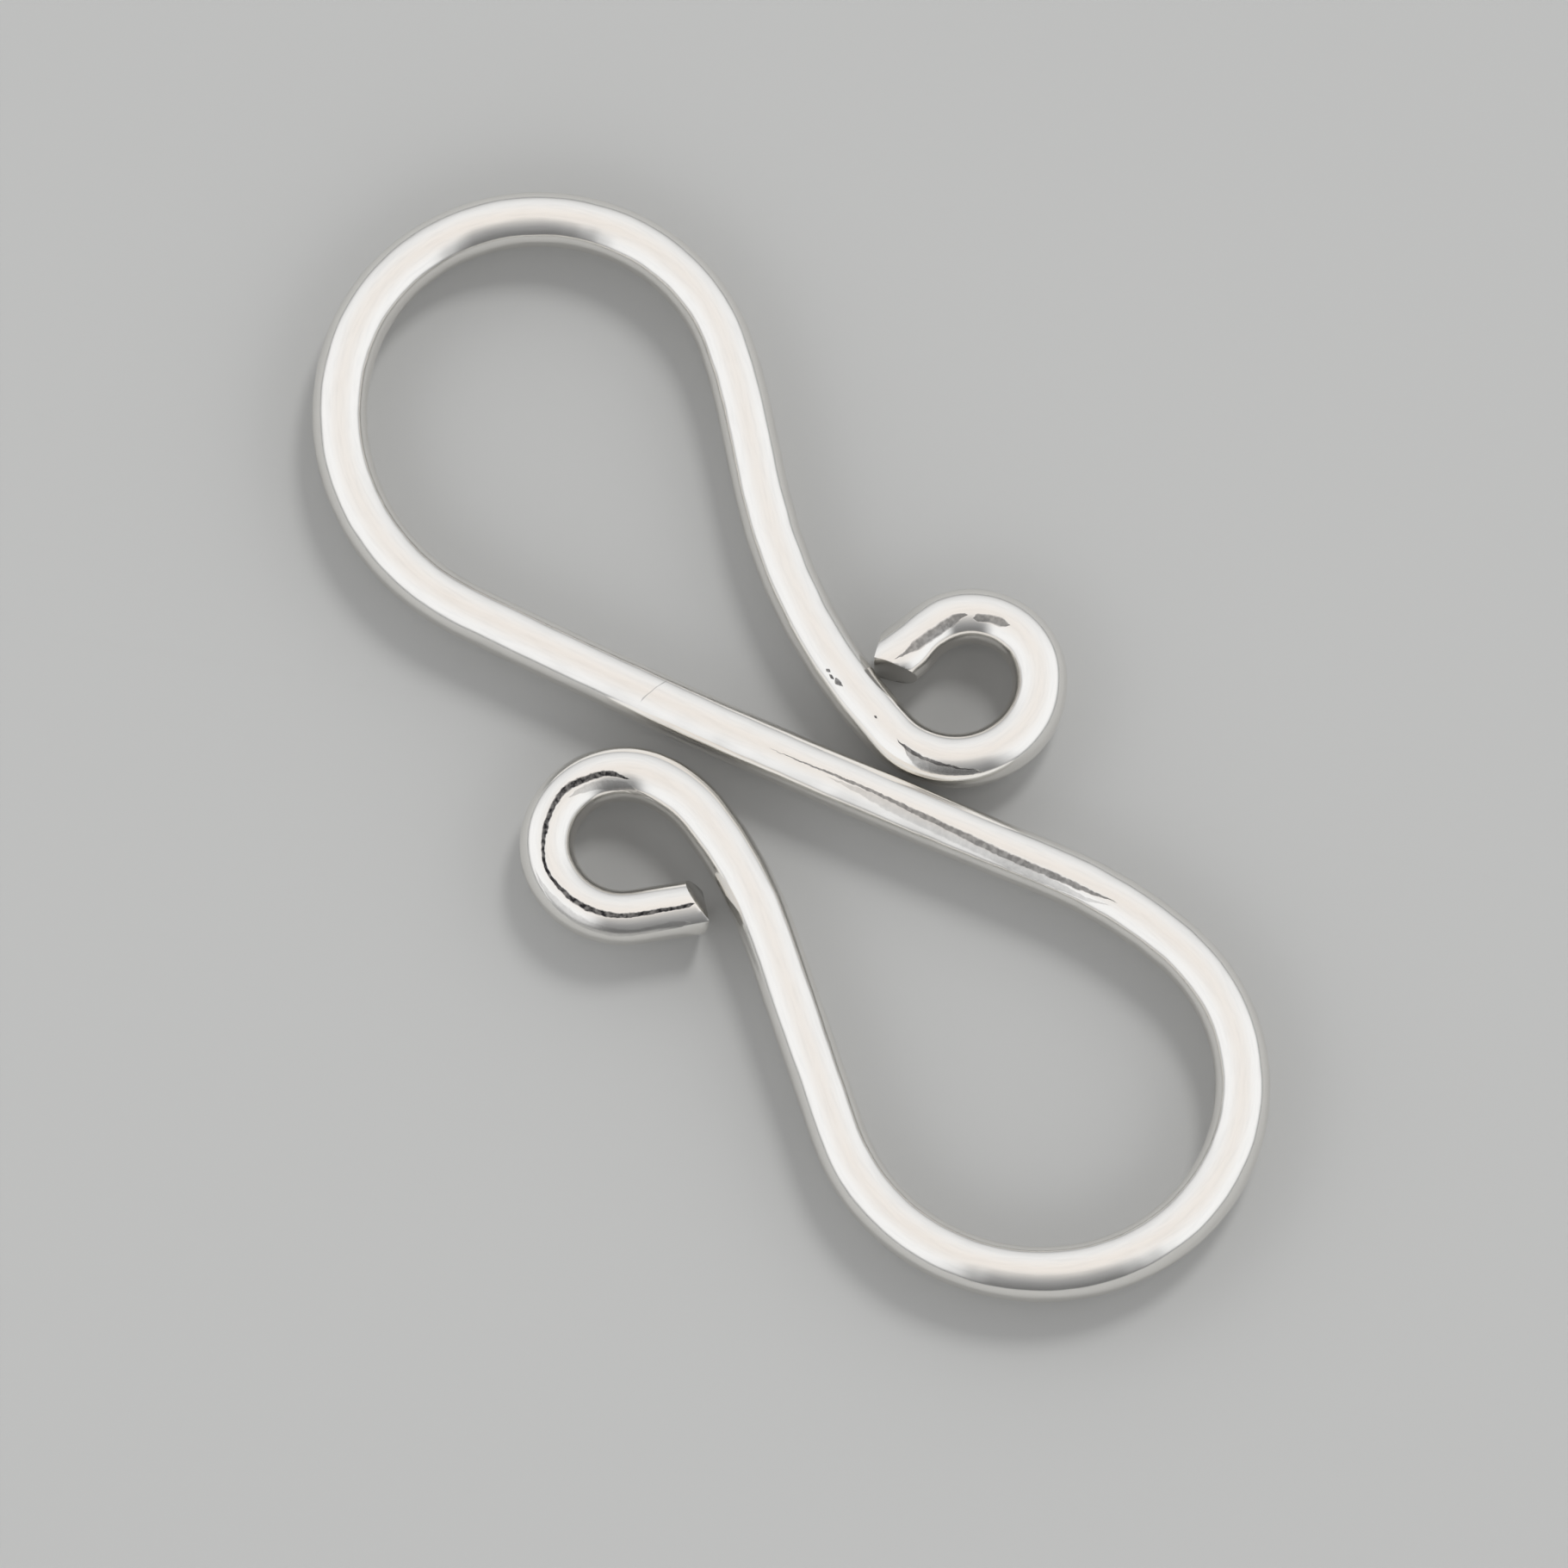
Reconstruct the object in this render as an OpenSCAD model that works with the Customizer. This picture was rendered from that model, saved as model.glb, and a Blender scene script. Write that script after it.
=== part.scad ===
// S-hook clasp bent from one length of round silver wire.
// Two teardrop hooks face opposite ways on a shared middle run. Each hook ends in a small
// round eye that is rolled outward, rests beside the run and so closes the hook.
// Sizes are in millimetres and angles in degrees. A former is what the wire is bent round,
// so its radius is the inside radius of the bend.

/* [Wire] */
// Diameter of the wire
wire_d = 1.02; // [0.8:0.01:1.3]
// Radius of the slight bow along the middle run
bow_r = 160; // [80:10:400]
// Radius of the former that both crowns are bent round
crown_r = 3.15; // [2.6:0.05:4.2]

/* [First hook] */
// Middle run from the clasp's middle to this hook's first bend
first_run = 6.8; // [5.5:0.1:8.5]
// Radius of the shoulder, the bend between the middle run and the crown
first_shoulder_r = 3.9; // [3:0.1:8]
// Turn of the shoulder
first_shoulder_turn = 79; // [60:1:95]
// Radius of the haunch, the bend between the crown and the leg
first_haunch_r = 9; // [4:0.1:14]
// Turn of the haunch
first_haunch_turn = 8; // [4:1:25]
// Straight length of the leg
first_leg = 1.7; // [1:0.1:4]
// Radius of the slow bend by which the leg swings out to the eye
first_sweep_r = 9.6; // [6:0.1:14]
// Turn of that slow bend
first_sweep_turn = 31; // [15:1:40]
// Radius of the neck, where the leg runs into the eye
first_neck_r = 1.05; // [0.9:0.05:1.3]
// Turn of the neck
first_neck_turn = 144; // [40:1:150]
// Radius of the plier jaw that the eye is rolled round
first_eye_r = 0.75; // [0.6:0.05:1.1]
// Straight tail after the eye, up to the ridge of the cut end
first_tail = 1.4; // [0.9:0.05:1.6]
// Gap between the eye and the middle run
first_seat_gap = 0.1; // [0.04:0.01:1]
// Gap between the cut end and the leg
first_mouth = 0.04; // [0.04:0.01:0.6]

/* [Second hook] */
// Middle run from the clasp's middle to this hook's first bend
second_run = 5.1; // [4:0.1:7.5]
// Radius of the shoulder, the bend between the middle run and the crown
second_shoulder_r = 7.6; // [3:0.1:9]
// Turn of the shoulder
second_shoulder_turn = 20; // [10:1:60]
// Radius of the haunch, the bend between the crown and the leg
second_haunch_r = 3.4; // [3:0.1:8]
// Turn of the haunch
second_haunch_turn = 82; // [50:1:90]
// Straight length of the leg
second_leg = 4; // [3:0.1:6]
// Radius of the slow bend by which the leg swings out to the eye
second_sweep_r = 7.7; // [6:0.1:14]
// Turn of that slow bend
second_sweep_turn = 19; // [10:1:30]
// Radius of the neck, where the leg runs into the eye
second_neck_r = 1.8; // [0.9:0.1:2.5]
// Turn of the neck
second_neck_turn = 28; // [20:1:60]
// Radius of the plier jaw that the eye is rolled round
second_eye_r = 0.9; // [0.7:0.05:1.3]
// Straight tail after the eye, up to the ridge of the cut end
second_tail = 1.3; // [0.9:0.05:1.6]
// Gap between the eye and the middle run
second_seat_gap = 0.39; // [0.04:0.01:1]
// Gap between the cut end and the leg
second_mouth = 0.35; // [0.04:0.01:0.6]

/* [Cut ends] */
// Slope of the first end's flat that faces into its eye
first_inner_flat = 42; // [0:1:50]
// Slope of the first end's other flat
first_outer_flat = 58; // [0:1:62]
// How far the first end's ridge stands off the wire's middle, away from its eye
first_ridge_offset = 0.1; // [0:0.01:0.2]
// Roll of the first end's ridge about the wire, from upright
first_ridge_roll = 0; // [-90:15:90]
// Slope of the second end's flat that faces into its eye
second_inner_flat = 24; // [0:1:50]
// Slope of the second end's other flat
second_outer_flat = 14; // [0:1:50]
// Roll of the second end's ridge about the wire, from upright
second_ridge_roll = 45; // [-90:15:90]

/* [Hidden] */
wire_r = wire_d / 2;
// Flat sides round the wire, and the most that a bend turns and runs from one ring of points
// to the next
sides = 24;
ring_turn = 6;
ring_gap = 1.5;
// The least and the most that a neck and its eye turn together, and that a crown turns
least_curl = 200;
most_curl = 295;
least_crown = 100;
most_crown = 180;

// A stretch of wire is [length, turn]. It turns left when the turn is positive.
function straight(length) = [length, 0];
function bend(former_r, turn) = [(former_r + wire_r) * abs(turn) * PI / 180, turn];

// The pose [x, y, heading] after a run along a stretch that starts at pose p
function along(p, stretch, run) =
    stretch[1] == 0 ? [p.x + run * cos(p.z), p.y + run * sin(p.z), p.z] :
    let (r = stretch[0] * 180 / PI / stretch[1], heading = p.z + stretch[1] * run / stretch[0])
    [p.x + r * (sin(heading) - sin(p.z)), p.y - r * (cos(heading) - cos(p.z)), heading];

// The poses of every ring along a list of stretches, with the starting pose first
function poses(p, stretches, i = 0) =
    i == len(stretches) ? [p] :
    let (s = stretches[i],
         rings = s[1] == 0 ? 1 : max(ceil(abs(s[1]) / ring_turn), ceil(s[0] / ring_gap)))
    concat([for (k = [0 : rings - 1]) along(p, s, s[0] * k / rings)],
           poses(along(p, s, s[0]), stretches, i + 1));

function spot(pose) = [pose.x, pose.y];

// Distance from point q to the straight line from a to b
function to_line(q, a, b) =
    let (t = max(0, min(1, (q - a) * (b - a) / ((b - a) * (b - a))))) norm(q - a - t * (b - a));

// Distance from point q to a line of poses
function to_poses(q, line) =
    min([for (i = [1 : len(line) - 1]) to_line(q, spot(line[i - 1]), spot(line[i]))]);

// The value between low and high at which a falling function f crosses zero
function crossing(f, low, high, halvings = 30) =
    let (middle = (low + high) / 2)
    halvings == 0 ? middle :
    f(middle) > 0 ? crossing(f, middle, high, halvings - 1) : crossing(f, low, middle, halvings - 1);

// The stretches of one hook, outward from the clasp's middle. The bow side is 1 where the
// middle run bows to the left on its way to this hook, and -1 where it bows to the right.
// The eye is rolled until the cut end is a mouth's width from the leg, and the crown is bent
// until the eye is a seat gap from the middle run.
function hook(bow_side, run, shoulder_r, shoulder_turn, haunch_r, haunch_turn, leg,
              sweep_r, sweep_turn, neck_r, neck_turn, eye_r, tail, seat_gap, mouth) =
    let (
        lead = [[run, bow_side * run / bow_r * 180 / PI], bend(shoulder_r, -shoulder_turn)],
        leg_part = [straight(leg), bend(sweep_r, sweep_turn)],
        neck = bend(neck_r, neck_turn),
        leg_line = poses([0, 0, 0], leg_part),
        neck_line = poses(leg_line[len(leg_line) - 1], [neck]),
        roll = function (turn) poses(neck_line[len(neck_line) - 1], [bend(eye_r, turn), straight(tail)]),
        eye_turn = crossing(
            function (turn) let (line = roll(turn)) to_poses(spot(line[len(line) - 1]), leg_line)
                - wire_r - mouth, least_curl - neck_turn, most_curl - neck_turn),
        last_part = concat([bend(haunch_r, -haunch_turn)], leg_part,
                           [neck, bend(eye_r, eye_turn), straight(tail)]),
        bow_centre = [0, bow_side * bow_r],
        seat = function (turn)
            let (line = poses([0, 0, 0], concat(lead, [bend(crown_r, -turn)], last_part)),
                 first = len(line) - len(poses([0, 0, 0], [neck, bend(eye_r, eye_turn), straight(tail)])))
            min([for (i = [first : len(line) - 1])
                bow_side * (norm(spot(line[i]) - bow_centre) - bow_r)]) - wire_d,
        crown_turn = crossing(function (turn) seat(turn) - seat_gap, least_crown, most_crown)
    )
    concat(lead, [bend(crown_r, -crown_turn)], last_part);

first_hook = hook(-1, first_run, first_shoulder_r, first_shoulder_turn, first_haunch_r,
    first_haunch_turn, first_leg, first_sweep_r, first_sweep_turn, first_neck_r, first_neck_turn,
    first_eye_r, first_tail, first_seat_gap, first_mouth);
second_hook = hook(1, second_run, second_shoulder_r, second_shoulder_turn, second_haunch_r,
    second_haunch_turn, second_leg, second_sweep_r, second_sweep_turn, second_neck_r,
    second_neck_turn, second_eye_r, second_tail, second_seat_gap, second_mouth);

// The whole wire's poses from the second hook's end to the first hook's end
first_line = poses([0, 0, 0], first_hook);
second_line = poses([0, 0, 0], second_hook);
wire_line = concat(
    [for (i = [len(second_line) - 1 : -1 : 1]) [-second_line[i].x, -second_line[i].y, second_line[i].z]],
    first_line);

// The centre that a hook's crown is bent round, which is where the hook is pulled
function crown_centre(stretches) =
    let (start = poses([0, 0, 0], [stretches[0], stretches[1]]), p = start[len(start) - 1])
    spot(p) + (crown_r + wire_r) * [sin(p.z), -cos(p.z)];
pull = -crown_centre(second_hook) - crown_centre(first_hook);
pull_angle = atan2(pull.y, pull.x);

// The poses turned so that the line of pull lies along X, with the middle of their box at the origin
turned = [for (p = wire_line)
    [p.x * cos(pull_angle) + p.y * sin(pull_angle), p.y * cos(pull_angle) - p.x * sin(pull_angle),
     p.z - pull_angle]];
middle = [for (k = [0, 1]) (max([for (p = turned) p[k]]) + min([for (p = turned) p[k]])) / 2];
laid = [for (p = turned) [p.x - middle.x, p.y - middle.y, p.z]];

// A point at an angle round the wire and a distance ahead of a pose. Angle 0 is to the left.
function on_wire(p, angle, r, ahead = 0) =
    [p.x + ahead * cos(p.z) - r * cos(angle) * sin(p.z),
     p.y + ahead * sin(p.z) + r * cos(angle) * cos(p.z),
     wire_r + r * sin(angle)];

// How far the cut falls back from its ridge at an angle round the wire
function fall(angle, inner_flat, outer_flat, roll, ridge_offset = 0) =
    let (off_ridge = wire_r * cos(angle - roll) + ridge_offset)
    off_ridge > 0 ? off_ridge * tan(inner_flat) : -off_ridge * tan(outer_flat);

// The wire's skin: a ring of points at each pose, with the two end rings cut to a ridge
module wire() {
    last = len(laid) - 1;
    rings = [for (i = [0 : last]) for (k = [0 : sides - 1])
        let (angle = k * 360 / sides,
             ahead = i == 0 ? fall(180 - angle, second_inner_flat, second_outer_flat, second_ridge_roll) :
                 i == last ? -fall(angle, first_inner_flat, first_outer_flat, first_ridge_roll,
                                   first_ridge_offset) : 0)
        on_wire(laid[i], angle, wire_r, ahead)];
    tips = [on_wire(laid[0], 0, 0), on_wire(laid[last], 180 + first_ridge_roll, first_ridge_offset)];
    start_tip = len(rings);
    end_tip = start_tip + 1;
    skin = [for (i = [0 : last - 1]) for (k = [0 : sides - 1])
        let (a = i * sides + k, b = i * sides + (k + 1) % sides)
        [a, a + sides, b + sides, b]];
    start_cap = [for (k = [0 : sides - 1]) [start_tip, k, (k + 1) % sides]];
    end_cap = [for (k = [0 : sides - 1])
        [end_tip, last * sides + (k + 1) % sides, last * sides + k]];
    color("silver") polyhedron(concat(rings, tips), concat(skin, start_cap, end_cap));
}

wire();
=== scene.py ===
# %% [markdown]
# # A silver S-hook clasp
# The clasp is one length of round sterling silver wire, bent flat into two teardrop hooks
# that end in rolled eyes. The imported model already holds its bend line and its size, so this
# lesson draws a finer wire along that same line, cuts and bruises it as pliers do, and gives
# it the finish of polished silver. Everything is in metres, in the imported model's own frame.

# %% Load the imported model
import math

import bpy
import numpy as np
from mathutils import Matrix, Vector


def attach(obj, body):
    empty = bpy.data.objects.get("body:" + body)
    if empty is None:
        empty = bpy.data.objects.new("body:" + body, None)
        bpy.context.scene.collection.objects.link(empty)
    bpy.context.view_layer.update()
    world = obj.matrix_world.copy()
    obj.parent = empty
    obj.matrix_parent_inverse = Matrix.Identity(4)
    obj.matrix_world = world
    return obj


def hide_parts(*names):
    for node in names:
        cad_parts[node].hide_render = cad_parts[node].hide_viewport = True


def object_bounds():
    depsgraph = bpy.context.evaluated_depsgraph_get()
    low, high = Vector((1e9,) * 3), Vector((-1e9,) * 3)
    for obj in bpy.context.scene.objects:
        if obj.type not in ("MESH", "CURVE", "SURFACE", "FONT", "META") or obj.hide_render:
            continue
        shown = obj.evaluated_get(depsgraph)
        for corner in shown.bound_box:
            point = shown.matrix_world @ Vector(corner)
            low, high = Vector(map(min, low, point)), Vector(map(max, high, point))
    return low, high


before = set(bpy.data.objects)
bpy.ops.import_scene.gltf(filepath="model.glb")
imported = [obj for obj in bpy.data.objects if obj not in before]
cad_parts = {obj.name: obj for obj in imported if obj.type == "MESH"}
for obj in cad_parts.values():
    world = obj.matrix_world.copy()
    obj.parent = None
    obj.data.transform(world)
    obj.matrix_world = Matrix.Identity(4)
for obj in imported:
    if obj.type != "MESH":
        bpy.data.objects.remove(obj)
cad_low, cad_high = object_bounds()
MM = 0.001
print("packed box, mm:", [round(side / MM, 2) for side in cad_high - cad_low])

# %% [markdown]
# ## Sizes that everything follows
# The clasp lies flat, so its height is the wire's diameter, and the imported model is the
# only place that the diameter has to be read from. What one pass of a tool leaves on the
# wire is then given in millimetres.

# %% The wire's size
wire_d = cad_high.z - cad_low.z
wire_r = wire_d / 2
print("wire diameter, mm:", round(wire_d / MM, 3))

# %% [markdown]
# ## Small helpers
# An operator works on whatever is selected, so each step first clears the selection and
# then picks what it needs. These helpers keep the steps short.

# %% Helpers for selecting
def only(piece):
    """Makes a piece the one selected and active object."""
    bpy.ops.object.select_all(action="DESELECT")
    bpy.context.view_layer.objects.active = piece
    piece.select_set(True)
    return piece


def edit(piece, kind="VERT"):
    """Enters edit mode on a piece with nothing selected."""
    only(piece)
    bpy.ops.object.mode_set(mode="EDIT")
    bpy.ops.mesh.select_mode(type=kind)
    bpy.ops.mesh.select_all(action="DESELECT")
    bpy.ops.object.mode_set(mode="OBJECT")


def pick(elements, rule):
    """Selects the vertices, edges or faces that a rule holds for, and enters edit mode."""
    chosen = [e for e in elements if rule(e)]
    for e in chosen:
        e.select = True
    bpy.ops.object.mode_set(mode="EDIT")
    return len(chosen)


def done():
    bpy.ops.object.mode_set(mode="OBJECT")


# %% [markdown]
# ## The bend line
# The wire's centreline could be typed in again as a list of bends, but then it would have
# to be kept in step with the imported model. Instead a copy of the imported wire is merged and
# stripped down to the one row of vertices along its crest, which is the bend line lifted
# by half the wire's diameter. The two vertices where many edges meet are the middles of
# the pinched tips, and they are noted first.

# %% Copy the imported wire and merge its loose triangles
SAME_PLACE = 0.0001 * MM
bend_line = bpy.data.objects.new("bend_line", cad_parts["wire"].data.copy())
bpy.context.scene.collection.objects.link(bend_line)
edit(bend_line)
pick(bend_line.data.vertices, lambda v: True)
bpy.ops.mesh.remove_doubles(threshold=SAME_PLACE)
done()
print("packed vertices:", len(bend_line.data.vertices))

# %% Find the tips
edges_at = np.bincount(
    [v for e in bend_line.data.edges for v in e.vertices], minlength=len(bend_line.data.vertices)
)
tips = sorted(
    (bend_line.data.vertices[int(i)].co.copy() for i in np.argsort(edges_at)[-2:]),
    key=lambda co: co.x,
)
first_tip, second_tip = tips
print("tips, mm:", [[round(c / MM, 2) for c in tip] for tip in tips])

# %% Keep only the crest
CREST_DEPTH = 0.001 * MM
edit(bend_line)
pick(bend_line.data.vertices, lambda v: v.co.z < cad_high.z - CREST_DEPTH)
bpy.ops.mesh.delete(type="VERT")
done()
edit(bend_line)
pick(bend_line.data.vertices, lambda v: True)
bpy.ops.transform.translate(value=(0, 0, -wire_r))
done()
print("crest vertices:", len(bend_line.data.vertices))


# %% [markdown]
# The crest stops a little short where the tips are cut back, so both ends are drawn on past
# their tips; the pinch cuts take the extra off again. Long steps are then halved until
# every step is short, which gives the wire even rings.

# %% Lengthen the ends and even out the steps
END_STOCK = 0.5 * MM
LONGEST_STEP = 0.26 * MM


def end_vertices(line):
    """The two loose ends of a row of edges, each with the direction that it points in."""
    uses = {}
    for e in line.data.edges:
        for a, b in (e.vertices, reversed(e.vertices)):
            uses.setdefault(a, []).append(b)
    found = []
    for a, neighbours in uses.items():
        if len(neighbours) == 1:
            here, back = (line.data.vertices[i].co for i in (a, neighbours[0]))
            found.append((a, (here - back).normalized()))
    return found


for index, direction in end_vertices(bend_line):
    edit(bend_line)
    pick(bend_line.data.vertices, lambda v: v.index == index)
    bpy.ops.mesh.extrude_region_move(TRANSFORM_OT_translate={"value": direction * END_STOCK})
    done()


def edge_length(edge):
    a, b = (bend_line.data.vertices[i].co for i in edge.vertices)
    return (a - b).length


while max(edge_length(e) for e in bend_line.data.edges) > LONGEST_STEP:
    edit(bend_line, "EDGE")
    pick(bend_line.data.edges, lambda e: edge_length(e) > LONGEST_STEP)
    bpy.ops.mesh.subdivide(number_cuts=1)
    done()
print("bend line steps:", len(bend_line.data.edges))

# %% [markdown]
# ## The drawn wire
# Real wire is pulled through a round hole, so its section is a circle all the way. A curve
# with a round bevel is the same idea: the bend line becomes a smooth curve, the bevel is
# the hole in the draw plate, and converting it to a mesh gives the metal. The bare curve
# is converted once on its own too, because its points in order are the ruler that places
# every later mark along the wire.

# %% Turn the bend line into a smooth curve
RINGS_PER_STEP = 2
only(bend_line)
bpy.ops.object.convert(target="CURVE")
bend_curve = bpy.context.object
bpy.ops.object.mode_set(mode="EDIT")
bpy.ops.curve.select_all(action="SELECT")
bpy.ops.curve.spline_type_set(type="NURBS")
from_second_tip = [(point.co.xyz - second_tip).length for point in bend_curve.data.splines[0].points]
if from_second_tip[0] > from_second_tip[-1]:
    bpy.ops.curve.switch_direction()
done()
spline = bend_curve.data.splines[0]
spline.order_u = 4
spline.use_endpoint_u = True
spline.resolution_u = RINGS_PER_STEP
bend_curve.data.twist_mode = "Z_UP"
print("curve points:", len(spline.points))

# %% Keep the ruler
ruler_mesh = bpy.data.meshes.new_from_object(bend_curve)
ruler = np.array([v.co for v in ruler_mesh.vertices])
bpy.data.meshes.remove(ruler_mesh)
ruler_steps = np.diff(ruler, axis=0)
ruler_marks = np.r_[0, np.cumsum(np.linalg.norm(ruler_steps, axis=1))]
ruler_marks -= ruler_marks[np.linalg.norm(ruler - second_tip, axis=1).argmin()]
first_end = ruler_marks[np.linalg.norm(ruler - first_tip, axis=1).argmin()]
print("wire length between tips, mm:", round(first_end / MM, 1))

# %% Draw the wire
SIDES = 64
CAP_MERGE = 0.001 * MM
bend_curve.data.bevel_depth = wire_r
bend_curve.data.bevel_resolution = (SIDES - 4) // 2
bend_curve.data.use_fill_caps = True
only(bend_curve)
bpy.ops.object.convert(target="MESH")
wire = bpy.context.object
wire.name = wire.data.name = "silver_wire"
edit(wire)
pick(wire.data.vertices, lambda v: True)
bpy.ops.mesh.remove_doubles(threshold=CAP_MERGE)
bpy.ops.mesh.normals_make_consistent(inside=False)
done()
print("wire faces:", len(wire.data.polygons))

# %% [markdown]
# Each end of the wire lies right beside the leg of its own hook, so a place in the room
# doesn't say which stretch of wire a vertex belongs to. The conversion has left a UV map
# whose first number runs from 0 to 1 along the curve, ring by ring, and that does say it.
# The map is read once into a distance that each vertex carries through all later edits.

# %% Give each vertex its distance along the wire
corner_uv = np.empty(len(wire.data.loops) * 2)
wire.data.uv_layers[0].data.foreach_get("uv", corner_uv)
corner_uv = corner_uv.reshape(-1, 2)
vertex_mark = np.zeros(len(wire.data.vertices))
for face in wire.data.polygons:
    if face.loop_total == 4:  # the faces of the two end caps are triangles
        for corner in face.loop_indices:
            ring = round(corner_uv[corner, 0] * (len(ruler) - 1))
            vertex_mark[wire.data.loops[corner].vertex_index] = ruler_marks[ring]
wire.data.attributes.new("mark", "FLOAT", "POINT").data.foreach_set("value", vertex_mark)
print("marks, mm:", [round(m / MM, 2) for m in (vertex_mark.min(), vertex_mark.max())])


def marks_of(piece):
    """How far along the wire each vertex is."""
    marks = np.empty(len(piece.data.vertices))
    piece.data.attributes["mark"].data.foreach_get("value", marks)
    return marks


# %% [markdown]
# ## The pinched ends
# Cutter jaws close on wire from both sides and leave a roof: two sloping flats that meet in
# a ridge. A bisect with a filled cut is one jaw, so each end gets two. A bisect reaches as
# far as its selection, and only the last stretch of each end is selected. It holds each part
# of its plane's direction between -1 and 1, so a direction that isn't one unit long would
# come out at another slope.

# %% Cut the ends
END_REACH = 2.2 * MM


def direction_at(along):
    """The wire's direction and its left side at a distance along it."""
    step = ruler_steps[min(np.searchsorted(ruler_marks, along), len(ruler_steps) - 1)]
    ahead = Vector(step).normalized()
    return ahead, Vector((-ahead.y, ahead.x, 0))


def cut_end(tip, along, jaws):
    """Cuts one end by flats that meet in a ridge at its tip.

    Each flat is a side (1 towards the eye, -1 away from it), a slope and a roll about the wire
    in degrees, and how far back from the tip it stands, in mm.
    """
    outward = 1 if along > ruler_marks[-1] / 2 else -1
    ahead, left = (outward * side for side in direction_at(along))
    for side, slope, roll, back in jaws:
        roll = math.radians(roll)
        towards_eye = left * math.cos(roll) + Vector((0, 0, 1)) * math.sin(roll)
        lean = side * math.tan(math.radians(slope))
        near = np.abs(marks_of(wire) - along) < END_REACH
        edit(wire, "FACE")
        pick(wire.data.polygons, lambda f: all(near[i] for i in f.vertices))
        bpy.ops.mesh.bisect(
            plane_co=tip - back * MM * ahead,
            plane_no=(ahead + lean * towards_eye).normalized(),
            use_fill=True,
            clear_outer=True,
            threshold=SAME_PLACE,
        )
        done()


FIRST_JAWS = [(1, 43.2, 0, 0), (-1, 45.94, 0, 0.0313)]
SECOND_JAWS = [(1, 31.86, 52.2, 0), (-1, 14, 50, 0)]
cut_end(first_tip, first_end, FIRST_JAWS)
cut_end(second_tip, 0, SECOND_JAWS)
print("faces after the cuts:", len(wire.data.polygons))

# %% [markdown]
# Jaws never leave a knife edge: the metal rolls over a little where a flat meets the round
# of the wire. A small bevel on just those edges gives the light something to catch. The
# cuts have left a few slivers beside the new edges, and those are merged first, because a
# bevel is only as good as the mesh under it.

# %% Round the cut edges over
CUT_BEVEL = 0.022 * MM
SLIVER = 0.02 * MM
CUT_ANGLE = math.radians(12)
MANY_SIDES = 8  # only a cut face has more sides than this
cut_corners = {i for f in wire.data.polygons if f.loop_total > MANY_SIDES for i in f.vertices}
edit(wire)
pick(wire.data.vertices, lambda v: v.index in cut_corners)
bpy.ops.mesh.remove_doubles(threshold=SLIVER)
done()


def cut_edges(piece):
    """The edges where a jaw's flat meets the wire or another flat."""
    faces_of = {}
    for f in piece.data.polygons:
        for key in f.edge_keys:
            faces_of.setdefault(key, []).append(f)
    return {
        key
        for key, (a, b) in faces_of.items()
        if max(a.loop_total, b.loop_total) > MANY_SIDES and a.normal.angle(b.normal) > CUT_ANGLE
    }


sharp = cut_edges(wire)
edit(wire, "EDGE")
bevelled = pick(wire.data.edges, lambda e: e.key in sharp)
bpy.ops.mesh.bevel(offset=CUT_BEVEL, segments=2, profile=0.5, clamp_overlap=True)
done()
print("edges rounded over:", bevelled)

# %% [markdown]
# A cut face is sheared metal that the polish never reaches, so it stays duller than the skin
# of the wire; its greyer colour is partly that and partly painted shade, standing for the
# dark reflection of the cut flat. Each flat is one many-sided face, which makes it easy to
# find; it gets an attribute of its own for the material to read.

# %% Tell the sheared flats from the polished skin
flats = [float(f.loop_total > MANY_SIDES) for f in wire.data.polygons]
wire.data.attributes.new("sheared", "FLOAT", "FACE").data.foreach_set("value", flats)
print("sheared flats:", int(sum(flats)))

# %% [markdown]
# The first tail was squeezed in the plier as its eye was closed. It leans in towards its eye,
# and its inner side is pushed out into a low heel behind the cut. A push with a soft falloff
# does both: the picked spot moves all the way and the metal round it follows less and less.

# %% Squeeze the first tail
TAIL_LEAN, TAIL_REACH = 0.165 * MM, 1.5 * MM
HEEL, HEEL_REACH = 0.09 * MM, 0.55 * MM
TIP_LENGTH = 0.15 * MM
HEEL_BEHIND = (0.45 * MM, 0.75 * MM)
HEEL_DEPTH = 0.2 * MM


def push(piece, spot, by, reach):
    """Pushes a spot of the piece aside, and the metal within reach of it along with it."""
    edit(piece)
    picked = pick(piece.data.vertices, lambda v: spot[v.index])
    bpy.ops.transform.translate(
        value=by,
        use_proportional_edit=True,
        proportional_edit_falloff="SMOOTH",
        proportional_size=reach,
        use_proportional_connected=True,
    )
    done()
    return picked


_, tail_left = direction_at(first_end)
behind = first_end - marks_of(wire)
picked = push(wire, behind < TIP_LENGTH, tail_left * TAIL_LEAN, TAIL_REACH)
print("tip vertices:", picked)
beside = np.array([(v.co - first_tip) @ tail_left for v in wire.data.vertices])
inner_side = beside > beside[behind < 1 * MM].max() - HEEL_DEPTH
heel = (behind > HEEL_BEHIND[0]) & (behind < HEEL_BEHIND[1]) & inner_side
print("heel vertices:", push(wire, heel, tail_left * HEEL, HEEL_REACH))

# %% [markdown]
# ## Places on the wire
# Every later mark is placed as a jeweller would say it: so far along the wire, and so far
# round it. Each vertex gets its distance along, to the left and above the wire's centre, in
# millimetres, as an attribute that the material reads. The distance that it already carries
# says which stretch of the ruler to measure from.

# %% Measure every vertex against the ruler
RULER_REACH = 12  # steps of the ruler looked at, each way from where the vertex should be


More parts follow.
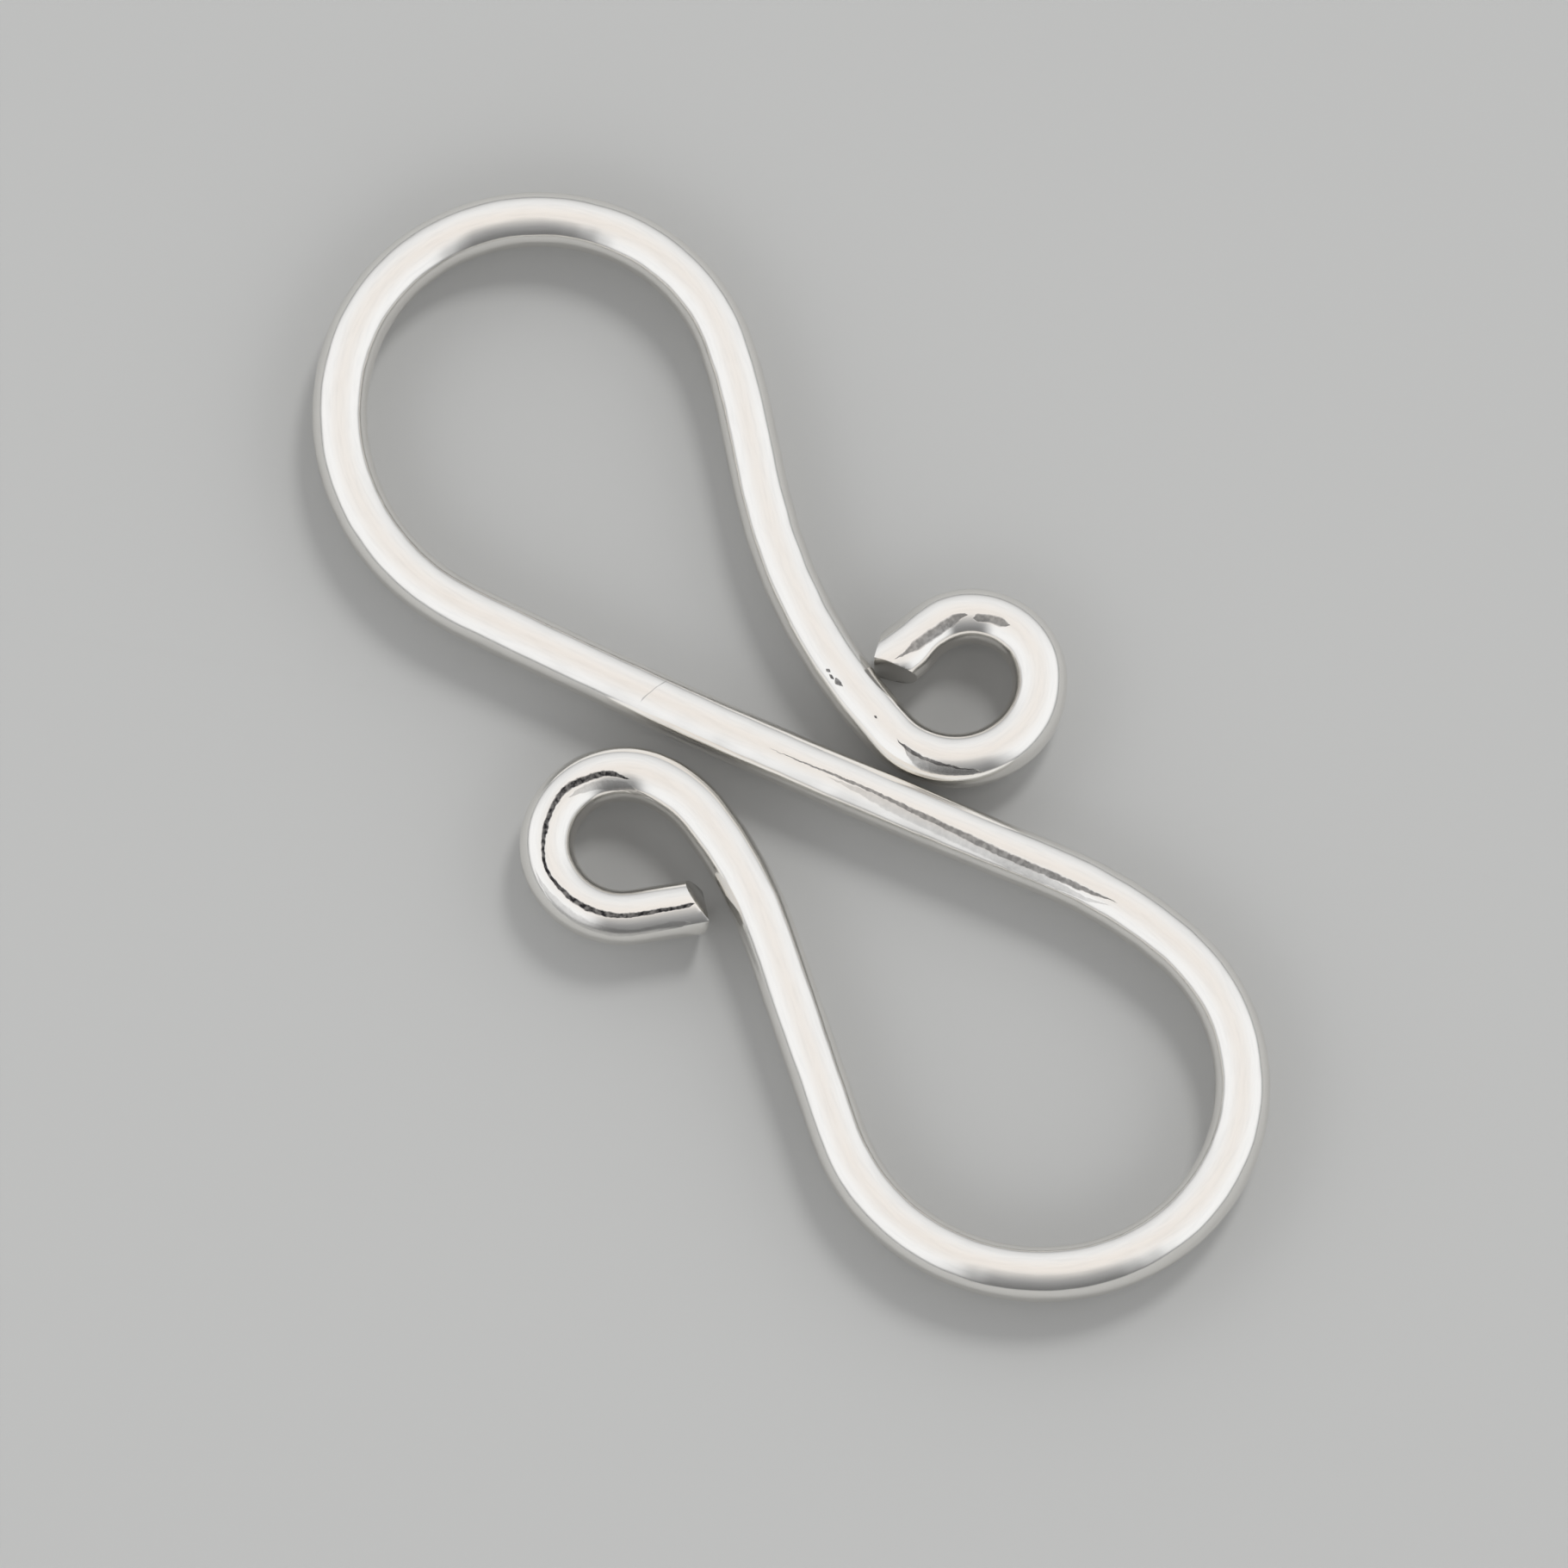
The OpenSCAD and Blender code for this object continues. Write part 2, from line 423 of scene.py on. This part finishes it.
def places_of(piece):
    """For each vertex: how far along the wire, how far left of its centre, how far above."""
    points = np.empty(len(piece.data.vertices) * 3)
    piece.data.vertices.foreach_get("co", points)
    points = points.reshape(-1, 3)
    guess = np.searchsorted(ruler_marks, marks_of(piece))
    window = guess[:, None] + np.arange(-RULER_REACH, RULER_REACH + 1)
    window = np.clip(window, 0, len(ruler_steps) - 1)
    gap = np.linalg.norm(points[:, None] - (ruler[window] + ruler_steps[window] / 2), axis=2)
    near = window[np.arange(len(window)), gap.argmin(1)]
    ahead = ruler_steps[near] / np.linalg.norm(ruler_steps[near], axis=1)[:, None]
    away = points - ruler[near]
    left = away[:, 1] * ahead[:, 0] - away[:, 0] * ahead[:, 1]
    return np.c_[ruler_marks[near] + (away * ahead).sum(1), left, away[:, 2]]


places = places_of(wire) / MM
place_on_wire = wire.data.attributes.new("place_on_wire", "FLOAT_VECTOR", "POINT")
place_on_wire.data.foreach_set("vector", places.ravel())
print("places, mm:", places.min(0).round(2), places.max(0).round(2))

# %% Smooth the wire and keep the cut edges crisp
SMOOTH_ANGLE = math.radians(24)
only(wire)
bpy.ops.object.shade_smooth_by_angle(angle=SMOOTH_ANGLE)
print("smooth faces:", sum(f.use_smooth for f in wire.data.polygons))

# %% [markdown]
# ## Polished sterling silver
# Silver is the whitest of the metals and takes nearly all its look from what it reflects, so
# its own colour is close to white with a trace of warmth. Node graphs get long, so one small
# helper adds a node together with its settings and links. Colours are written as hex codes
# and turned into the linear values that a shader expects.

# %% Helpers for materials
def srgb(code):
    """A hex colour such as F7F5F1 as the linear colour that a shader socket takes."""
    parts = [int(code[i : i + 2], 16) / 255 for i in (0, 2, 4)]
    return [c / 12.92 if c <= 0.04045 else ((c + 0.055) / 1.055) ** 2.4 for c in parts] + [1]


def add(tree, kind, inputs=None, **settings):
    """Adds a node with its settings. Each input gets a plain value or the output that feeds it."""
    node = tree.nodes.new("ShaderNode" + kind)
    for name, value in settings.items():
        setattr(node, name, value)
    for socket, value in (inputs or {}).items():
        if isinstance(value, bpy.types.NodeSocket):
            tree.links.new(value, node.inputs[socket])
        else:
            node.inputs[socket].default_value = value
    return node


def draw_curve(node, points):
    """Draws a Float Curve node's line through points that are given from left to right."""
    curve = node.mapping.curves[0]
    while len(curve.points) < len(points):
        curve.points.new(0.5, 0.5)
    for point, (x, y) in zip(curve.points, points):
        point.location = (x, y)
        point.handle_type = "AUTO_CLAMPED"
    node.mapping.update()
    return node.outputs[0]


# %% [markdown]
# The material works in the wire's own coordinates: millimetres along it, and the angle round
# it, where 0 degrees is the left side, 90 is the crest and 180 is the right side. Both come
# from the attribute that every vertex carries, so a mark follows the wire through its bends.

# %% Start the silver
print("silver in linear light:", [round(c, 3) for c in srgb("F7F5F1")])
silver = bpy.data.materials.new("polished_sterling_silver")
silver.use_nodes = True
tree = silver.node_tree
tree.nodes.clear()
place = add(tree, "Attribute", attribute_name="place_on_wire").outputs["Vector"]
along, leftward, upward = add(tree, "SeparateXYZ", {0: place}).outputs
angle = add(tree, "Math", {0: upward, 1: leftward}, operation="ARCTAN2").outputs[0]
angle = add(tree, "Math", {0: angle}, operation="DEGREES").outputs[0]

# %% Noise for ragged edges and mottling
RAG_WIDTH = 0.04  # millimetres that a mark's edge wanders to each side
RAGS_PER_MM, SPECKLES_PER_MM = 6.0, 10.0
rag = add(tree, "TexNoise", {"Vector": place, "Scale": RAGS_PER_MM, "Detail": 3.0, "Roughness": 0.6})
ragged = add(tree, "MapRange", {0: rag.outputs[0], 3: -RAG_WIDTH, 4: RAG_WIDTH}).outputs[0]
speckle = add(
    tree, "TexNoise", {"Vector": place, "Scale": SPECKLES_PER_MM, "Detail": 2.0, "Roughness": 0.6}
)
print("grain of the mottling, mm:", 1 / SPECKLES_PER_MM)

# %% [markdown]
# ## What the pliers left behind, and painted reflections
# Steel jaws crease soft silver where they hold it and press small flats into it. The dark
# streaks and grey flats drawn here are painted reflection and shade of those creases and
# flats, put into the colour; a few grey patches, a scratch and pits are drawn the same way.
# Each mark is drawn as a line through a few stations: how far along the wire, how many
# degrees round it, and half its width there in millimetres. Two Float Curve nodes carry the
# line and its width, which keeps a long wandering crease to a few nodes. A texture painted
# by hand would do the same, but it couldn't be moved by editing a number.

# %% A mark along the wire
ARC = wire_r / MM * math.pi / 180
print("millimetres round the wire for each degree:", round(ARC, 4))


def mark_along_wire(stations):
    """A dark line on the wire, drawn through stations of (mm along, degrees round, half width).

    Returns a mask that is 1 inside the line and 0 outside it.
    """
    start, end = stations[0][0], stations[-1][0]
    where = add(tree, "MapRange", {0: along, 1: start, 2: end}).outputs[0]
    shares = [(s - start) / (end - start) for s, _, _ in stations]
    line = draw_curve(
        add(tree, "FloatCurve", {"Value": where}),
        [(x, a / 180) for x, (_, a, _) in zip(shares, stations)],
    )
    width = draw_curve(
        add(tree, "FloatCurve", {"Value": where}),
        [(x, w) for x, (_, _, w) in zip(shares, stations)],
    )
    centre = add(tree, "Math", {0: line, 1: 180.0}, operation="MULTIPLY").outputs[0]
    off = add(tree, "Math", {0: angle, 1: centre}, operation="SUBTRACT").outputs[0]
    off = add(tree, "Math", {0: off, 1: ARC, 2: ragged}, operation="MULTIPLY_ADD").outputs[0]
    off = add(tree, "Math", {0: off}, operation="ABSOLUTE").outputs[0]
    width = add(tree, "Math", {0: width, 1: 0.001}, operation="MAXIMUM").outputs[0]
    share = add(tree, "Math", {0: off, 1: width}, operation="DIVIDE").outputs[0]
    inside = add(
        tree,
        "MapRange",
        {0: share, 1: 0.7, 2: 1.3, 3: 1.0, 4: 0.0},
        interpolation_type="SMOOTHSTEP",
    ).outputs[0]
    # past its ends the line is held at its last station, so the mask is cut off there
    past = add(tree, "Math", {0: where, 1: 0.5}, operation="SUBTRACT").outputs[0]
    past = add(tree, "Math", {0: past}, operation="ABSOLUTE").outputs[0]
    kept = add(tree, "Math", {0: past, 1: 0.4999}, operation="LESS_THAN").outputs[0]
    return add(tree, "Math", {0: inside, 1: kept}, operation="MULTIPLY").outputs[0]


def deepest(*masks):
    """The darkest of several marks."""
    found = masks[0]
    for mask in masks[1:]:
        found = add(tree, "Math", {0: found, 1: mask}, operation="MAXIMUM").outputs[0]
    return found


def faint(mask, share):
    """The same mark, only so deep."""
    return add(tree, "Math", {0: mask, 1: share}, operation="MULTIPLY").outputs[0]


# %% [markdown]
# The second eye was rolled with the jaw's corner pressed into it, which left one long crease
# from the cut end to the far side of the eye; its dark line is painted shade and dark
# reflection. A grey patch is painted inside the eye and a grey strip along the outer side of
# the tail.

# %% Marks on the second eye
# Painted shade and reflection: this dark line puts the crease's shade and dark reflection into the
# colour.
second_eye_painted_crease_streak = mark_along_wire(
    [
        (0.26, 78, 0.0),
        (0.42, 76.5, 0.036),
        (0.66, 75.5, 0.036),
        (1.14, 75, 0.04),
        (1.74, 74, 0.046),
        (2.28, 75, 0.05),
        (2.66, 75.5, 0.04),
        (3.15, 74.5, 0.03),
        (3.54, 79, 0.032),
        (3.86, 85, 0.042),
        (4.3, 88, 0.052),
        (4.82, 90, 0.058),
        (5.04, 95, 0.062),
        (5.28, 100, 0.06),
        (5.54, 104, 0.055),
        (5.8, 109, 0.045),
        (5.98, 116, 0.03),
        (6.16, 121, 0.0),
    ]
)
second_tail_grey_strip = mark_along_wire(
    [(0.4, 40, 0.0), (0.7, 40, 0.07), (1.3, 36, 0.06), (1.9, 38, 0.09), (2.6, 47, 0.08), (3.3, 50, 0.0)]
)
second_eye_grey_patch = mark_along_wire(
    [
        (4.7, 106, 0.0),
        (4.95, 113, 0.05),
        (5.24, 120, 0.08),
        (5.64, 131, 0.09),
        (6.04, 137, 0.09),
        (6.34, 148, 0.06),
        (6.9, 150, 0.0),
    ]
)
print("nodes after the second eye:", len(tree.nodes))

# %% [markdown]
# The middle run was held by a smooth jaw while the second crown was bent. A long dark line
# along it is a painted dark reflection, with a faint grey band painted below it. A hair
# scratch crosses the run.

# %% Marks on the middle run
middle_grey_band = mark_along_wire(
    [
        (29.6, 60, 0.0),
        (30.3, 46, 0.05),
        (31.5, 50, 0.1),
        (32.6, 58, 0.1),
        (33.7, 64, 0.1),
        (34.6, 70, 0.06),
        (35.4, 72, 0.0),
    ]
)
hair_scratch = mark_along_wire([(38.9, 124, 0.03), (39.02, 92, 0.03), (39.14, 60, 0.03)])
# Painted reflection: this long dark line is a dark reflection put into the colour.
middle_painted_streak = mark_along_wire(
    [
        (29.5, 74, 0.0),
        (30.3, 64, 0.05),
        (31.2, 63, 0.06),
        (32.1, 66, 0.065),
        (33.0, 72, 0.055),
        (33.7, 76, 0.045),
        (34.4, 80, 0.03),
        (35.1, 81, 0.025),
        (36.6, 78, 0.0),
    ]
)
print("nodes after the middle run:", len(tree.nodes))

# %% [markdown]
# The first eye was squeezed in three places, which left two flats on top and a larger one at
# the foot. Their grey, and the dark upper edge of the foot flat, are painted reflections of
# these facets. A few pits sit on the leg beside it.

# %% Marks on the first eye
# Painted reflection: the grey of the flats below, and the dark edge of the foot flat, paint what these
# facets reflect.
first_tail_flat_painted_reflection = mark_along_wire(
    [
        (72.5, 74, 0.0),
        (72.64, 72, 0.05),
        (72.85, 67, 0.09),
        (73.1, 63, 0.095),
        (73.4, 61, 0.09),
        (73.68, 60, 0.075),
        (73.98, 58, 0.03),
        (74.22, 58, 0.0),
    ]
)
first_eye_top_flat_painted_reflection = mark_along_wire(
    [
        (71.58, 77, 0.0),
        (71.68, 73, 0.05),
        (71.85, 72, 0.08),
        (72.0, 70, 0.075),
        (72.3, 66, 0.07),
        (72.4, 66, 0.0),
    ]
)
first_eye_foot_flat_painted_reflection = mark_along_wire(
    [
        (66.88, 106, 0.0),
        (67.05, 110, 0.02),
        (67.2, 118, 0.06),
        (67.45, 126, 0.12),
        (67.7, 129, 0.1),
        (67.95, 131, 0.07),
        (68.24, 137, 0.035),
        (68.4, 142, 0.0),
    ]
)
first_eye_foot_edge_painted_reflection = mark_along_wire(
    [
        (66.9, 107, 0.0),
        (67.05, 110, 0.025),
        (67.2, 112, 0.04),
        (67.4, 114, 0.035),
        (67.68, 119, 0.03),
        (67.96, 123, 0.025),
        (68.3, 135, 0.0),
    ]
)
pits = deepest(
    mark_along_wire([(65.02, 123, 0.0), (65.07, 122, 0.04), (65.13, 121, 0.0)]),
    mark_along_wire([(65.14, 125, 0.0), (65.2, 124, 0.03), (65.28, 124, 0.0)]),
    mark_along_wire([(65.27, 120, 0.0), (65.35, 121, 0.05), (65.43, 119, 0.03), (65.5, 117, 0.0)]),
    mark_along_wire([(66.29, 106, 0.0), (66.33, 106, 0.022), (66.37, 106, 0.0)]),
)
print("nodes after the first eye:", len(tree.nodes))

# %% [markdown]
# The marks differ in depth: the painted shade of the crease is nearly black, the painted
# reflection of a squeezed flat is grey and a grey patch is only a shade off the polish. The
# deepest mark at a point is the one that shows, and noise mottles it so that the painted
# streaks are uneven.

# %% Put the marks together
# Mostly painted reflection and shade; the scratch and pits are marks of the wire's own.
marks_and_painted_reflections = deepest(
    second_eye_painted_crease_streak,
    faint(middle_painted_streak, 0.74),
    faint(second_eye_grey_patch, 0.34),
    faint(deepest(second_tail_grey_strip, middle_grey_band), 0.26),
    faint(hair_scratch, 0.3),
    faint(deepest(first_tail_flat_painted_reflection, first_eye_top_flat_painted_reflection), 0.72),
    faint(first_eye_foot_flat_painted_reflection, 0.5),
    faint(deepest(first_eye_foot_edge_painted_reflection, pits), 0.88),
)
mottle = add(tree, "MapRange", {0: speckle.outputs[0], 1: 0.35, 2: 0.6, 3: 0.78, 4: 1.0}).outputs[0]
marks_and_painted_reflections = add(tree, "Math", {0: marks_and_painted_reflections, 1: mottle}, operation="MULTIPLY").outputs[0]
print("nodes after the mottling:", len(tree.nodes))

# %% [markdown]
# A draw plate leaves faint lines along the wire, and fingers and polish leave it very
# slightly uneven. Noise stretched along the wire makes the lines, and slow noise makes the
# waver. Both only tilt the reflections, so they go into a bump and not into the shape. Real
# draw lines are a few microns apart, and these are drawn coarser so that they show.

# %% Draw lines and waver
LINES_PER_MM, LINE_STRETCH, LINE_HEIGHT = 14.0, 0.12, 0.0006 * MM
WAVERS_PER_MM, WAVER_HEIGHT = 0.9, 0.03 * MM
MARK_DEPTH = 0.006 * MM
stretch = (LINE_STRETCH, 1.0, 1.0)
lines_at = add(tree, "VectorMath", {0: place, 1: stretch}, operation="MULTIPLY").outputs[0]
lines = add(
    tree, "TexNoise", {"Vector": lines_at, "Scale": LINES_PER_MM, "Detail": 3.0, "Roughness": 0.6}
).outputs[0]
waver = add(tree, "TexNoise", {"Vector": place, "Scale": WAVERS_PER_MM, "Detail": 1.0}).outputs[0]
height = add(tree, "Math", {0: lines, 1: LINE_HEIGHT}, operation="MULTIPLY").outputs[0]
height = add(
    tree, "Math", {0: waver, 1: WAVER_HEIGHT, 2: height}, operation="MULTIPLY_ADD"
).outputs[0]
sunk = add(tree, "Math", {0: marks_and_painted_reflections, 1: -MARK_DEPTH, 2: height}, operation="MULTIPLY_ADD").outputs[0]
bump = add(tree, "Bump", {"Strength": 1.0, "Distance": 1.0, "Height": sunk}).outputs[0]
print("draw lines, mm apart:", round(1 / LINES_PER_MM, 2))

# %% [markdown]
# Roughness 0.15 is a hand polish: reflections stay readable but their edges are soft. The
# marks, most of them painted reflection and shade, are darker and duller, and the cut faces
# are duller with a slight painted darkening. The draw lines also hold a trace of tarnish.

# %% Finish the silver
POLISHED, DULL = 0.15, 0.42
# The dark silver paints the shade and reflection of the streaks and flats, and the tarnish in the draw
# lines.
BRIGHT_SILVER, TARNISH_AND_PAINTED_SHADE = srgb("F7F5F1"), srgb("302F31")
wear = add(tree, "MapRange", {0: lines, 1: 0.45, 2: 0.75, 3: 0.0, 4: 0.05}).outputs[0]
# Cut faces are duller, and their slight darkening is partly painted shade.
sheared_dullness_and_painted_shade = faint(add(tree, "Attribute", attribute_name="sheared").outputs["Fac"], 0.2)
tarnish_and_painted_reflections = deepest(marks_and_painted_reflections, wear, sheared_dullness_and_painted_shade)
colour = add(
    tree, "Mix", {0: tarnish_and_painted_reflections, 6: BRIGHT_SILVER, 7: TARNISH_AND_PAINTED_SHADE}, data_type="RGBA"
).outputs[2]
rough = add(tree, "MapRange", {0: deepest(marks_and_painted_reflections, sheared_dullness_and_painted_shade), 3: POLISHED, 4: DULL}).outputs[0]
shader = add(
    tree,
    "BsdfPrincipled",
    {"Base Color": colour, "Metallic": 1.0, "Roughness": rough, "Normal": bump},
)
add(tree, "OutputMaterial", {"Surface": shader.outputs[0]})
wire.data.materials.clear()
wire.data.materials.append(silver)
print("silver nodes:", len(tree.nodes))

# %% [markdown]
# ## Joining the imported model
# The clasp is one rigid body, so the drawn wire rides on the root and stands in for the
# packed wire.

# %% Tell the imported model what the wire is
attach(wire, "root")
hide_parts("wire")

# %% [markdown]
# ## The studio
# The clasp lies on matte paper. Paper scatters light evenly and has no pattern, so its only
# marks are the soft shadows that the wire throws.

# %% Floor
FLOOR_SIZE = 3.0
bpy.ops.mesh.primitive_plane_add(size=FLOOR_SIZE, location=(0, 0, 0))
floor = bpy.context.object
floor.name = floor.data.name = "floor"
paper = bpy.data.materials.new("matte_paper")
paper.use_nodes = True
tree = paper.node_tree
tree.nodes.clear()
shader = add(tree, "BsdfPrincipled", {"Base Color": srgb("C2C2C0"), "Roughness": 0.9})
add(tree, "OutputMaterial", {"Surface": shader.outputs[0]})
floor.data.materials.append(paper)
print("floor, m:", [round(side, 2) for side in floor.dimensions])

# %% [markdown]
# The camera looks down steeply from a distance of sixteen clasp lengths with a long lens, so
# that the two hooks come out at the same scale.

# %% Camera
CAMERA_TURN, CAMERA_RISE = math.radians(55.22), math.radians(70)
CAMERA_DISTANCE, CAMERA_NEAR, CAMERA_FAR = 400 * MM, 10 * MM, 10.0
FRAME_WIDTH, SENSOR_WIDTH = 28.905 * MM, 36.0
target = Vector((0.616, -0.371, 0.51)) * MM
camera_side = Vector((math.sin(CAMERA_TURN), -math.cos(CAMERA_TURN), 0))
camera_right = Vector((math.cos(CAMERA_TURN), math.sin(CAMERA_TURN), 0))
towards_camera = camera_side * math.cos(CAMERA_RISE) + Vector((0, 0, math.sin(CAMERA_RISE)))
camera_data = bpy.data.cameras.new("camera")
camera = bpy.data.objects.new("camera", camera_data)
bpy.context.scene.collection.objects.link(camera)
camera.location = target + towards_camera * CAMERA_DISTANCE
camera.rotation_euler = towards_camera.to_track_quat("Z", "Y").to_euler()
camera_data.sensor_width = SENSOR_WIDTH
camera_data.lens = SENSOR_WIDTH * CAMERA_DISTANCE / FRAME_WIDTH
camera_data.clip_start, camera_data.clip_end = CAMERA_NEAR, CAMERA_FAR
bpy.context.scene.camera = camera
print("lens, mm:", round(camera_data.lens))

# %% [markdown]
# ## The light tent
# Silver is photographed inside a tent of white cloth, because it shows whatever is round it.
# The tent here is the world. Its walls are near white, and darken towards the floor, where
# the gap under the cloth draws a thin line along each side of the wire. A dark card at the
# front stands for the camera and its operator, and gives the crowns their grey bands.
#
# First each direction is described in plain terms: degrees round from the camera side, and
# degrees away from straight up.

# %% Directions in the tent
CARD_TURN = 7.0
world = bpy.data.worlds.new("light_tent")
bpy.context.scene.world = world
world.use_nodes = True
tree = world.node_tree
tree.nodes.clear()
way = add(tree, "TexCoord").outputs["Generated"]
front = add(tree, "VectorMath", {0: way, 1: camera_side}, operation="DOT_PRODUCT").outputs["Value"]
right = add(tree, "VectorMath", {0: way, 1: camera_right}, operation="DOT_PRODUCT").outputs["Value"]
side = add(tree, "Math", {0: right, 1: front}, operation="ARCTAN2").outputs[0]
side = add(tree, "Math", {0: side}, operation="DEGREES").outputs[0]
off_front = add(tree, "Math", {0: side}, operation="ABSOLUTE").outputs[0]
off_card = add(tree, "Math", {0: side, 1: CARD_TURN}, operation="SUBTRACT").outputs[0]
off_card = add(tree, "Math", {0: off_card}, operation="ABSOLUTE").outputs[0]
rise = add(tree, "SeparateXYZ", {0: way}).outputs["Z"]
lean = add(tree, "Math", {0: rise}, operation="ARCCOSINE").outputs[0]
lean = add(tree, "Math", {0: lean}, operation="DEGREES").outputs[0]
lean = add(tree, "Math", {0: lean, 1: 90.0}, operation="DIVIDE").outputs[0]
print("card, degrees round from the camera:", CARD_TURN)


# %% [markdown]
# Each wall is a curve of brightness over the lean of a direction: 0 degrees is straight up
# and 90 is the horizon. The walls blend into each other over a range of degrees round.

# %% Walls and card
def tent_wall(levels):
    """How bright one wall of the tent is, by degrees away from straight up."""
    node = add(tree, "FloatCurve", {"Value": lean})
    return draw_curve(node, [(degrees / 90, level) for degrees, level in levels])


def within(off, far, near):
    """Rises softly from 0 to 1 as a number of degrees goes from far to near."""
    return add(
        tree, "MapRange", {0: off, 1: far, 2: near}, interpolation_type="SMOOTHSTEP"
    ).outputs[0]


sides = tent_wall(
    [(0, 0.9), (18, 0.91), (42, 0.97), (60, 1.0), (76, 1.0), (83, 0.72), (87, 0.38), (90, 0.22)]
)
back = tent_wall(
    [(0, 0.9), (22, 0.93), (42, 0.93), (62, 0.86), (77, 0.72), (86, 0.4), (90, 0.22)]
)
card = tent_wall(
    [(0, 0.9), (12, 0.86), (25, 0.64), (45, 0.4), (65, 0.27), (80, 0.2), (90, 0.14)]
)
tent = add(tree, "Mix", {0: within(off_front, 115.0, 160.0), 2: sides, 3: back}).outputs[0]
tent = add(tree, "Mix", {0: within(off_card, 46.0, 20.0), 2: tent, 3: card}).outputs[0]
print("tent nodes:", len(tree.nodes))

# %% [markdown]
# The camera itself sees a plain pale backdrop. The floor is lit by a low belt of light that
# comes from all round at the same total level, so that the wire has a soft shadow on every
# side and stands out from the paper.

# %% Backdrop and belt
BACKDROP, BELT_LIGHT = 0.6, 1.85
ray = add(tree, "LightPath").outputs
tent = add(tree, "Mix", {0: ray["Is Camera Ray"], 2: tent, 3: BACKDROP}).outputs[0]
belt = tent_wall([(0, 0.05), (40, 0.1), (55, 0.7), (66, 1.0), (78, 1.0), (86, 0.5), (90, 0.0)])
belt = add(tree, "Math", {0: belt, 1: BELT_LIGHT}, operation="MULTIPLY").outputs[0]
tent = add(tree, "Mix", {0: ray["Is Diffuse Ray"], 2: tent, 3: belt}).outputs[0]
print("nodes with backdrop and belt:", len(tree.nodes))

# %% [markdown]
# Light through the roof of the tent is a trace warmer than light through its walls, which
# keeps the crest of the wire from looking like white paint.

# %% Tint of the tent
ROOF_TINT, WALL_TINT = srgb("FFFAF6"), srgb("FCFDFF")
to_side = add(tree, "MapRange", {0: lean, 1: 0.1, 2: 0.6}).outputs[0]
tint = add(tree, "Mix", {0: to_side, 6: ROOF_TINT, 7: WALL_TINT}, data_type="RGBA").outputs[2]
light = add(tree, "Background", {"Color": tint, "Strength": tent})
add(tree, "OutputWorld", {"Surface": light.outputs[0]})
print("roof tint in linear light:", [round(c, 3) for c in ROOF_TINT])

# %% [markdown]
# One weak, broad key from the back right gives the shadows a direction. It is left out of
# reflections, where the tent already stands.

# %% A soft key
KEY_TURN, KEY_RISE, KEY_ANGLE = (math.radians(degrees) for degrees in (62, 42, 16))
lamp = bpy.data.lights.new("key", "SUN")
lamp.energy = 1.0
lamp.angle = KEY_ANGLE
key = bpy.data.objects.new("key", lamp)
bpy.context.scene.collection.objects.link(key)
key_from = camera_right * math.cos(KEY_TURN) - camera_side * math.sin(KEY_TURN)
key_from = key_from * math.cos(KEY_RISE) + Vector((0, 0, math.sin(KEY_RISE)))
key.rotation_euler = key_from.to_track_quat("Z", "Y").to_euler()
key.visible_glossy = False
print("key, degrees across:", round(math.degrees(lamp.angle)))

# %% [markdown]
# ## Finish
# The Standard view shows colours as they are written.

# %% Finish
bpy.context.scene.view_settings.view_transform = "Standard"
